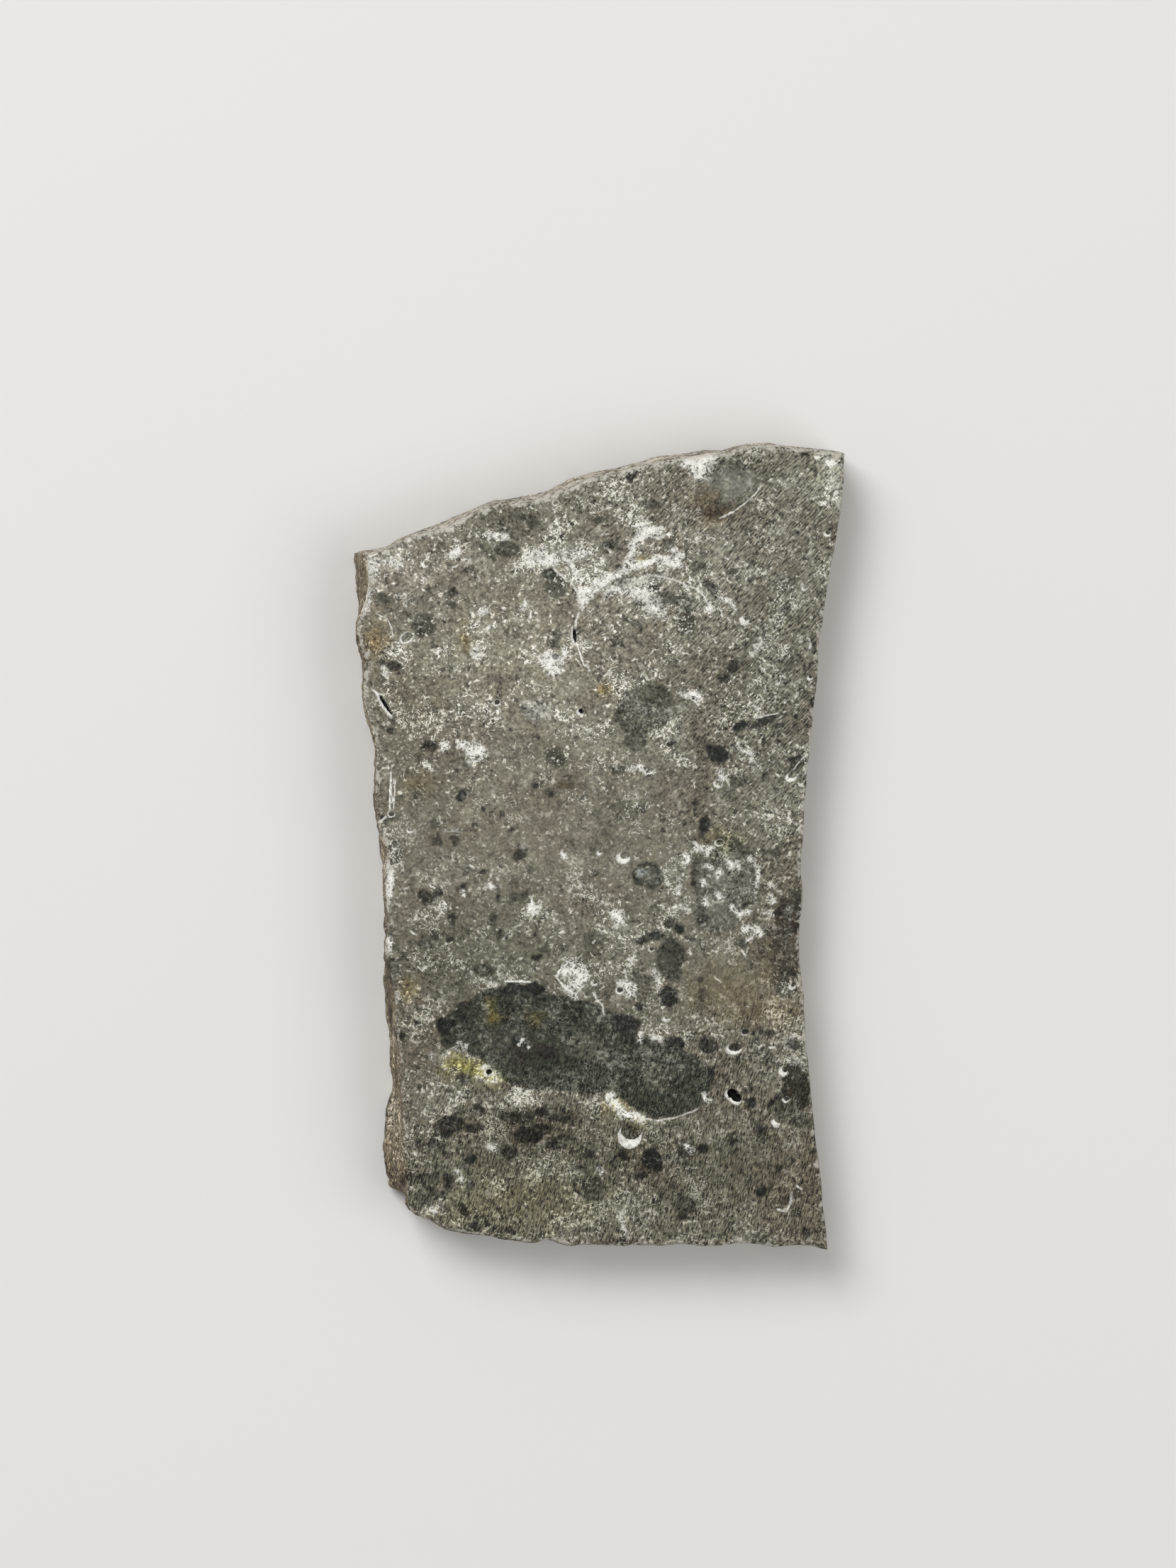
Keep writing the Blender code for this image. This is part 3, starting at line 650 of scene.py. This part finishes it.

# Every place keeps where it lies in the nearest bubble's or hole's inner and outer oval. That
# changes evenly near each one, so the edges stay sharp between the points of the surface, and it
# is pushed far out away from them, so nothing shows where one's share of the face meets another's.
# The largest bubble is a shallow bowl with a little painted shade, and all of its pale lip, brightened
# there as a painted highlight, lies on the low side.
LARGE_BUBBLE = (891, 1597, 29, 28, 0), (888.5, 1606, 34, 34, 0), 0.95
UPPER_RIGHT = (0.55, -0.83)     # the way that hollows slip, as steps across and down the photo
# Holes are painted almost black inside as shade, and their lip slips to the lower left, where it is a
# painted highlight.
HOLE_SHADE_TONE, HOLE_LIP = 0.02, 3   # the lip is this many pixels more, and has slipped as follows
HOLE_SLIP = (-1.6, 1.9)
ovals = [LARGE_BUBBLE]
for px, py, length, width, turn, lip, slip, tone in BUBBLES:
    thick = lip * width
    middle = px + UPPER_RIGHT[0] * slip * thick, py + UPPER_RIGHT[1] * slip * thick
    ovals.append(((*middle, length - thick, width - thick, turn), (px, py, length, width, turn), tone))
for px, py, length, width, _, turn in HOLES.values():
    outer = px + HOLE_SLIP[0], py + HOLE_SLIP[1], length + HOLE_LIP, width + HOLE_LIP, turn
    ovals.append(((px, py, length, width, turn), outer, HOLE_SHADE_TONE))

FAR_START, FAR_TIMES = 0.1, 40  # millimetres from a lip where the push starts, and its factor
hollow_shade_tone = np.ones(len(points))
bubble_size = np.ones(len(points))
bubble_inner = np.full((len(points), 2), 9.0)
bubble_outer = np.full((len(points), 2), 9.0)
nearest_bubble = np.full(len(points), 9.0)
for inner, outer, tone in ovals:
    away = -oval_depth(x_mm, y_mm, *outer)
    closer = (away < nearest_bubble) & on_front
    nearest_bubble[closer] = away[closer]
    far = (1 + FAR_TIMES * np.clip(away / FAR_START - 1, 0, 1))[:, None]
    bubble_inner[closer] = (far * np.column_stack(oval_place(x_mm, y_mm, *inner)))[closer]
    bubble_outer[closer] = (far * np.column_stack(oval_place(x_mm, y_mm, *outer)))[closer]
    hollow_shade_tone[closer] = tone
    bubble_size[closer] = min(outer[2:4]) / 2 / PIXELS_ALONG

# Smooth places with few flecks: middle and reach across and up, in pixels
QUIET = (
    (1035, 1405, 70, 55), (1060, 1640, 100, 110), (1012, 1292, 34, 34), (1022, 690, 52, 50),
    (1115, 760, 40, 60), (735, 1480, 50, 30), (770, 1190, 170, 95), (890, 1598, 16, 14),
    (620, 1180, 70, 60),
)


def way_out(px, py, reach_x, reach_y):
    """The squared distance of every place from a middle, in its reaches across and up."""
    cx, cy = on_face(px, py)
    across = (torn_x - cx) * PIXELS_ACROSS / reach_x
    up = (torn_y - cy) * PIXELS_ALONG / reach_y
    return across**2 + up**2


quiet = np.max([np.exp(-way_out(*zone)) for zone in QUIET], axis=0)

tone_patch = np.ones((len(points), 3))
blotch = np.exp(0.9 * lattice_noise(points, 0.25 * MM, 3, seed=31))
for px, py, reach_x, reach_y, colour in TONE_PATCHES:
    share = np.exp(-way_out(px, py, reach_x, reach_y) * blotch) * on_front
    tone_patch *= 1 + (np.array(colour) - 1) * share[:, None]

# The pale rim, partly bruised stone and partly a painted highlight, strongest along the top edge and
# the left one, which face the light
RIM_WIDTH = 0.22                # millimetres
top_rim = np.clip(1 - (1 - v) * FACE_LONG / RIM_WIDTH, 0, 1)
left_rim = np.clip(1 - u * FACE_WIDE / RIM_WIDTH, 0, 1) * np.clip(v * 2.4 - 0.6, 0.2, 0.85)
other_rim = np.clip(1 - np.minimum((1 - u) * FACE_WIDE, v * FACE_LONG) / RIM_WIDTH, 0, 1) * 0.7
rim = np.zeros(len(points))
rim[:len(front)] = np.maximum(np.maximum(top_rim, left_rim), other_rim)
wall_share = np.zeros(len(points))
wall_share[wall_start:back_start] = 1
# The top wall is painted paler as light from above, fading down the wall; its front rim gets it in full.
wall_top_light = np.zeros(len(points))
wall_top_light[wall_start:back_start] = ((1 - 0.65 * row_down)[:, None] * (side_number == 2)).ravel()
wall_top_light[front_rim[side_number == 2]] = 1

# How strongly the lap has combed the face: upright in the low end, slanting in the high right end.
# Each is a soft step over a slanting line on the face, in millimetres.
combed = 1 / (1 + np.exp((y_mm + 6.2 - 0.25 * x_mm) / 0.9))
raked = 1 / (1 + np.exp(-(0.75 * x_mm + 0.35 * y_mm - 3.2) / 1.2)) * (1 - combed)


def keep(kind, field, kept_values):
    """Keep each named row of values as an attribute of the surface's points."""
    for name, values in kept_values.items():
        layer = slice_mesh.attributes.new(name, kind, "POINT")
        layer.data.foreach_set(field, np.ascontiguousarray(values, dtype=np.float32).ravel())


no_height, opaque_alpha = np.zeros(len(points)), np.ones(len(points))
keep("FLOAT", "value", {
    "clast_depth": clast_depth, "white": white, "line_offset": line_offset,
    "line_strength": line_strength, "bubble_size": bubble_size, "hollow_shade_tone": hollow_shade_tone,
    "quiet": quiet, "rim": rim, "wall_share": wall_share, "wall_top_light": wall_top_light,
    "combed": combed, "raked": raked})
keep("FLOAT_VECTOR", "vector", {
    "bubble_inner": np.column_stack([bubble_inner, no_height]),
    "bubble_outer": np.column_stack([bubble_outer, no_height])})
keep("FLOAT_COLOR", "color", {
    "clast_colour": np.column_stack([clast_colour, opaque_alpha]),
    "tone_patch": np.column_stack([tone_patch, opaque_alpha])})

# The finish of the sawn stone. The matrix is mottled grey with a dense grit of pale flecks and dark
# grains; fragments keep their own colours; crushed feldspar is chalky white. Holes are painted black
# inside as shade, with a pale broken lip painted brighter on one side as a highlight, and the saw and the
# lap have left fine scratches.


class Wire:
    """One socket of a finish's node tree. Python's operators on it add Math nodes."""

    def __init__(self, tree, socket=None):
        self.tree, self.socket = tree, socket

    def node(self, kind, settings=None, values=None, out=0):
        """Add a node: its settings are set first, then the values or links of its sockets."""
        made = self.tree.nodes.new(kind)
        for name, value in (settings or {}).items():
            setattr(made, name, value)
        for name, value in (values or {}).items():
            if isinstance(value, Wire):
                self.tree.links.new(value.socket, made.inputs[name])
            else:
                made.inputs[name].default_value = value
        return Wire(self.tree, made.outputs[out])

    def math(self, operation, *terms, clamp=False):
        """A Math node on these sockets and numbers."""
        return self.node("ShaderNodeMath", {"operation": operation, "use_clamp": clamp},
                         dict(enumerate(terms)))

    def __add__(self, other):
        return self.math("ADD", self, other)

    def __mul__(self, other):
        return self.math("MULTIPLY", self, other)

    def __sub__(self, other):
        return self.math("SUBTRACT", self, other)

    def __rsub__(self, other):
        return self.math("SUBTRACT", other, self)

    __radd__, __rmul__ = __add__, __mul__

    def __abs__(self):
        return self.math("ABSOLUTE", self)

    def larger(self, other):
        """The larger of this value and another."""
        return self.math("MAXIMUM", self, other)

    def clamp(self):
        """This value, held between 0 and 1."""
        return self.math("MULTIPLY", self, 1.0, clamp=True)

    def above(self, edge, softness):
        """0 below the edge and 1 above it, with a soft step between."""
        return self.math("DIVIDE", self - (edge - softness / 2), softness, clamp=True)

    def scaled(self, factor):
        """This vector or colour times a number."""
        return self.node("ShaderNodeVectorMath", {"operation": "SCALE"}, {0: self, "Scale": factor})

    def vector(self, operation, *terms, out=0):
        """A Vector Math node on this vector or colour and the terms, part by part."""
        return self.node("ShaderNodeVectorMath", {"operation": operation},
                         dict(enumerate((self, *terms))), out)

    def mixed(self, other, factor):
        """This colour where the factor is 0 and the other where it is 1."""
        return self.node("ShaderNodeMix", {"data_type": "RGBA"}, {0: factor, 6: self, 7: other}, 2)

    def noise(self, size, detail=3.0, roughness=0.55, distortion=0.0):
        """Noise from 0 to 1 whose lumps are about this many millimetres across."""
        return self.node("ShaderNodeTexNoise", {}, {
            "Vector": self, "Scale": 1 / size, "Detail": detail, "Roughness": roughness,
            "Distortion": distortion})


def opaque(colour):
    """This colour, with full alpha."""
    return (*colour, 1.0)


MATRIX = (0.159, 0.143, 0.106)
COOL_MATRIX = (0.150, 0.143, 0.108)
CHALK = (0.80, 0.79, 0.73)
PALE_GRAIN = (0.80, 0.78, 0.68)
WALL_TINT = (1.09, 0.97, 0.90)
# The pale rim's colour: bruised stone, with a painted highlight on the top and left edges.
RIM_BRUISE_AND_HIGHLIGHT = (0.52, 0.50, 0.44)
# Painted light on the top wall.
TOP_WALL_LIGHT = (0.56, 0.54, 0.48)
BRIGHTEST = (0.85, 0.84, 0.78)

material = bpy.data.materials.new("sawn_breccia")
material.use_nodes = True
start = Wire(material.node_tree)
spot = start.node("ShaderNodeTexCoord", out=3).scaled(1 / MM)


def kept(name, out=2):
    """What the surface's points keep under this name."""
    return start.node("ShaderNodeAttribute", {"attribute_name": name}, out=out)


def drawn_out(turn, length, width):
    """The places, stretched so that noise on them comes out as grain along this turn."""
    return start.node("ShaderNodeMapping", {"vector_type": "TEXTURE"}, {
        "Vector": spot, "Rotation": (0, 0, math.radians(turn)), "Scale": (length, width, width)})


def curls(size, width, offset):
    """Thin curved lines, where a noise passes its middle."""
    level = spot.vector("ADD", offset).noise(size, 2.0, 0.6, 0.8) - 0.5
    return (width - abs(level)).above(width / 2, width)


# What the layers share: where they lie, clouds, patches, crowds of flecks, grit and dust, the grain
# that the lap has drawn out, and torn places for edges that wander
white_here, quiet_here, on_wall = kept("white"), kept("quiet"), kept("wall_share")
clouds = spot.noise(2.4, 2.0) - 0.5
patches = spot.noise(0.70, 3.0, 0.6) - 0.5
crowd = spot.noise(1.2, 3.0, 0.6) - 0.5
grit = spot.noise(0.20, 3.0, 0.75) - 0.5
dust = spot.noise(0.080, 2.0, 0.6) - 0.5
hatch = (drawn_out(47, 0.24, 0.050).noise(1.0, 2.0, 0.6) - 0.5) * kept("raked") * 4.8
drag = (drawn_out(74, 0.20, 0.045).noise(1.0, 2.0, 0.6) - 0.5) * kept("combed") * 5.4 + hatch
fine = (grit * 2.3 + dust * (2.6 + crowd * 3.0)) * (1 - quiet_here * 0.45) + drag
torn = start.node("ShaderNodeTexNoise", {}, {"Vector": spot, "Scale": 4.0, "Detail": 3.0}, 1)
torn_spot = torn.vector("MULTIPLY_ADD", (0.45, 0.45, 0.45), spot)
seam = start.node("ShaderNodeTexVoronoi", {"feature": "DISTANCE_TO_EDGE"},
                  {"Vector": torn_spot, "Scale": 1 / 0.40})


def matrix():
    """The fine matrix: mottled between two greys, its tone from the clouds, patches and grit."""
    hue = (clouds * 2.0 + patches * 2.0 + 0.5).clamp()
    earth = start.node("ShaderNodeMix", {"data_type": "RGBA"},
                       {0: hue, 6: opaque(MATRIX), 7: opaque(COOL_MATRIX)}, 2)
    return earth.scaled((1 + clouds * 0.8 + patches * 0.9 + fine).larger(0.15))


def with_crumbs(colour):
    """Small unnamed fragments of three sizes, cell by cell, each with a tone of its own."""
    for size, share, reach in ((1.05, 0.70, 0.36), (0.50, 0.70, 0.36), (0.27, 0.66, 0.38)):
        cells = {"Vector": torn_spot, "Scale": 1 / size}
        distance = start.node("ShaderNodeTexVoronoi", {}, cells)
        chance = start.node("ShaderNodeTexVoronoi", {}, cells, 1)
        first = start.node("ShaderNodeSeparateColor", {}, {0: chance})
        second = Wire(first.tree, first.socket.node.outputs[1])
        here = first.above(share, 0.02) * (reach - distance + grit * 0.3).above(0.0, 0.12)
        colour = colour.scaled(here * (second * 0.85 - 0.66) + 1)
    return colour


def in_fragment():
    """1 inside the named fragments and 0 outside them, with grainy edges."""
    ragged = kept("clast_depth") + (spot.noise(0.24, 3.0, 0.65) - 0.5) * 0.26 + dust * 0.10
    return ragged.above(0.0, 0.09)


def with_fragments(colour, inside):
    """The named fragments in their own colours, with a grit of their own."""
    tone = (1 + patches * 2.4 + (fine - hatch * 0.8) * 1.4).larger(0.2)
    return colour.mixed(kept("clast_colour", 0).scaled(tone), inside * 0.95)


def pale_flecks(inside):
    """Flecks, fewest in the darkest fragments: splinters that lie three ways, and short curls."""
    brightness = start.node("ShaderNodeRGBToBW", {}, {0: kept("clast_colour", 0)})
    calm = 1 - inside * (1 - (brightness * 10).clamp() * 0.55)
    gathered = crowd * 0.62 + white_here * 0.20 + drag * 0.04
    flecks = (spot.noise(0.16, 1.0) + gathered).above(0.60, 0.14) * curls(0.30, 0.055, (7.3, 2.9, 5.1))
    for turn, level in ((74, 0.742), (20, 0.749), (-38, 0.749)):
        splinter = (drawn_out(turn, 0.130, 0.046).noise(1.0, 1.0, 0.6) + gathered).above(level, 0.05)
        flecks = flecks.larger(splinter)
    return flecks * calm * (1 - quiet_here * 0.6)


def crushed_feldspar():
    """Crumbs that close up to solid chalk, a net along the seams between cells, and curls."""
    lace = (spot.noise(0.12, 4.0, 0.75) - 0.5) * 4.2 + (spot.noise(0.34, 2.0, 0.6) - 0.5) * 1.6
    crumbs = (white_here * 1.5 + lace).above(1.40, 0.20)
    net = (0.050 - seam + dust * 0.09).above(0.0, 0.04)
    net = net * (white_here * 2.4 + lace * 0.4 - 0.55).clamp()
    curl = curls(0.19, 0.062, (3.1, 8.2, 1.7)) * (white_here * 2.8 + lace * 0.6 - 0.65).clamp()
    return crumbs.larger(net).larger(curl) * white_here.above(0.06, 0.06)


def feldspar_lines():
    """Hair-fine white cracks that wander off their line and break here and there."""
    offset = kept("line_offset") + (spot.noise(0.16, 3.0, 0.6) - 0.5) * 3.4
    drawn = (1.15 - abs(offset)).above(0.25, 0.7) * kept("line_strength")
    return drawn * (spot.noise(0.13, 2.0) * 3.0 - 0.65).clamp()


def with_feldspar(colour, chalk):
    """The chalk laid over the stone, which is a little darker between the seams of its net."""
    pores = seam.above(0.16, 0.12) * (white_here * 1.8 - 0.4).clamp() * 0.5
    chalk_colour = start.node("ShaderNodeCombineXYZ", {}, dict(enumerate(CHALK)))
    chalk_colour = chalk_colour.scaled(0.98 + grit * 1.4)
    return colour.scaled(1 - pores).mixed(chalk_colour, (chalk + white_here * 0.05).clamp())


def with_rim(colour):
    """The pale rim in patches, partly stone scuffed by the saw and partly a painted highlight."""
    rim_here = kept("rim")
    bruise_and_highlight = (rim_here + patches * 3.0 + grit * 4.0).above(0.72, 0.55) * rim_here.above(0.02, 0.20)
    return colour.mixed(opaque(RIM_BRUISE_AND_HIGHLIGHT), bruise_and_highlight * 0.70)


def with_wall(colour):
    """The browner, layered wall, painted paler along the top edge as light from above, fading down the
    wall.
    """
    top_light_here = kept("wall_top_light")
    layers = spot.vector("MULTIPLY", (0.5, 0.5, 5.0))
    layer_tone = 1 + (layers.noise(0.8, 3.0, 0.7) - 0.5) * (3.2 - top_light_here * 2.2)
    colour = colour.mixed(colour.vector("MULTIPLY", WALL_TINT).scaled(layer_tone), on_wall)
    # Painted light along the top wall, in grainy patches.
    top_wall_lit = (0.50 + grit * 4.4 + patches * 1.2).clamp() * top_light_here
    return colour.mixed(opaque(TOP_WALL_LIGHT), top_wall_lit * on_wall)


def past_edge(name):
    """How far each place is outside a bubble's oval, in millimetres."""
    return (kept(name, 1).vector("LENGTH", out=1) - 1) * kept("bubble_size")


def bubbles():
    """The painted shade in the hollow of a bubble, pore or slit, and its chipped pale lip, drawn thicker
    on one side as a painted highlight.
    """
    hollow = 1 - (past_edge("bubble_inner") + dust * 0.06 + grit * 0.04).above(0.0, 0.025)
    lip = 1 - (past_edge("bubble_outer") + dust * 0.14 + grit * 0.16).above(0.0, 0.04)
    return hollow * (1 - kept("hollow_shade_tone")), (lip - hollow).clamp()


inside = in_fragment()
flecks = pale_flecks(inside)
chalk = crushed_feldspar().larger(feldspar_lines())
dark, lips = bubbles()

stone_colour = with_fragments(with_crumbs(matrix()), inside)
fleck_share = flecks * (0.94 + grit * 3.0 + crowd * 0.8).clamp()
stone_colour = stone_colour.mixed(opaque(PALE_GRAIN), fleck_share)
stone_colour = stone_colour.vector("MULTIPLY", kept("tone_patch", 0)).vector("MINIMUM", BRIGHTEST)
# The hollows of the bubbles, pores and slits are darkened here with painted shade.
stone_colour = with_wall(with_rim(with_feldspar(stone_colour, chalk))).scaled(1 - dark)
# Their lips are chalk white: pale stone, made thicker on one side as a painted highlight.
lip_share = lips * (0.85 + grit * 2.6 + dust * 1.5).clamp()
stone_colour = stone_colour.mixed(opaque(CHALK), lip_share)

bumps = fine * 0.25 + flecks * 0.5 + chalk * 0.5 + lips * 0.4 - dark.clamp() * 2.0
relief = start.node("ShaderNodeBump", {}, {"Strength": 0.5, "Distance": 0.03 * MM, "Height": bumps})
gloss = (0.52 + grit * 0.6 + flecks * 0.15 + on_wall * 0.2).clamp()

shader = material.node_tree.nodes["Principled BSDF"]
for name, wire in (("Base Color", stone_colour), ("Roughness", gloss), ("Normal", relief)):
    material.node_tree.links.new(wire.socket, shader.inputs[name])
shader.inputs["Specular IOR Level"].default_value = 0.15

stone.data.materials.append(material)
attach(stone, "root")
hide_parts("meteorite_slice")

# The floor. A plain pale sheet of matt board that the slice lies on, flat on its sawn back. It is
# large enough to fill the view, and it isn't part of the object.

FLOOR_SIZE = 1.2
BOARD_GREY = (0.70, 0.69, 0.67)
bpy.ops.mesh.primitive_plane_add(size=FLOOR_SIZE)
floor = bpy.context.active_object
floor.name = "floor"
board = bpy.data.materials.new("pale_board")
board.use_nodes = True
board_shader = board.node_tree.nodes["Principled BSDF"]
board_shader.inputs["Base Color"].default_value = opaque(BOARD_GREY)
board_shader.inputs["Roughness"].default_value = 0.8
floor.data.materials.append(board)

# The lights and the camera. Two soft panels and a pale room light the slice from above, and the
# camera looks down on it from a little left of its middle, so that the left wall just shows.


def soft_panel(name, place, size, watts):
    """A square soft light at this place, turned to the middle of the slice."""
    light = bpy.data.lights.new(name, "AREA")
    light.size = size
    light.energy = watts
    panel = bpy.data.objects.new(name, light)
    panel.location = place
    target = -panel.location
    panel.rotation_euler = target.to_track_quat("-Z", "Y").to_euler()
    bpy.context.scene.collection.objects.link(panel)


soft_panel("key_panel", (-0.18, 0.22, 0.30), 0.22, 1.35)
soft_panel("fill_panel", (0.26, -0.10, 0.28), 0.30, 0.55)
ROOM_WHITE, ROOM_STRENGTH = (1.0, 0.99, 0.97), 0.36
room = bpy.data.worlds.new("pale_room")
room.use_nodes = True
background = room.node_tree.nodes["Background"]
background.inputs["Color"].default_value = opaque(ROOM_WHITE)
background.inputs["Strength"].default_value = ROOM_STRENGTH
bpy.context.scene.world = room

PHOTO_HEIGHT, PHOTO_MIDDLE = 2212, (829.5, 1106)
CAMERA_AWAY = 0.200             # metres from the face
LEFT_TILT, TOP_TILT = 7.0, 3.0  # degrees that it looks in from the left and from above
SENSOR = 36                     # millimetres

camera_data = bpy.data.cameras.new("camera")
camera = bpy.data.objects.new("camera", camera_data)
bpy.context.scene.collection.objects.link(camera)
aim_x, aim_y = on_face(*PHOTO_MIDDLE)
backward = Vector((-math.tan(math.radians(LEFT_TILT)), math.tan(math.radians(TOP_TILT)), 1))
backward.normalize()
right = Vector((0, 1, 0)).cross(backward).normalized()
camera.rotation_euler = Matrix((right, backward.cross(right), backward)).transposed().to_euler()
camera.location = Vector((aim_x * MM, aim_y * MM, FACE_TOP)) + CAMERA_AWAY * backward
camera_data.sensor_width = SENSOR
camera_data.lens = SENSOR * CAMERA_AWAY / (PHOTO_HEIGHT / PIXELS_ALONG * MM)
camera_data.clip_start = 0.01
bpy.context.scene.camera = camera
bpy.context.scene.view_settings.view_transform = "Standard"
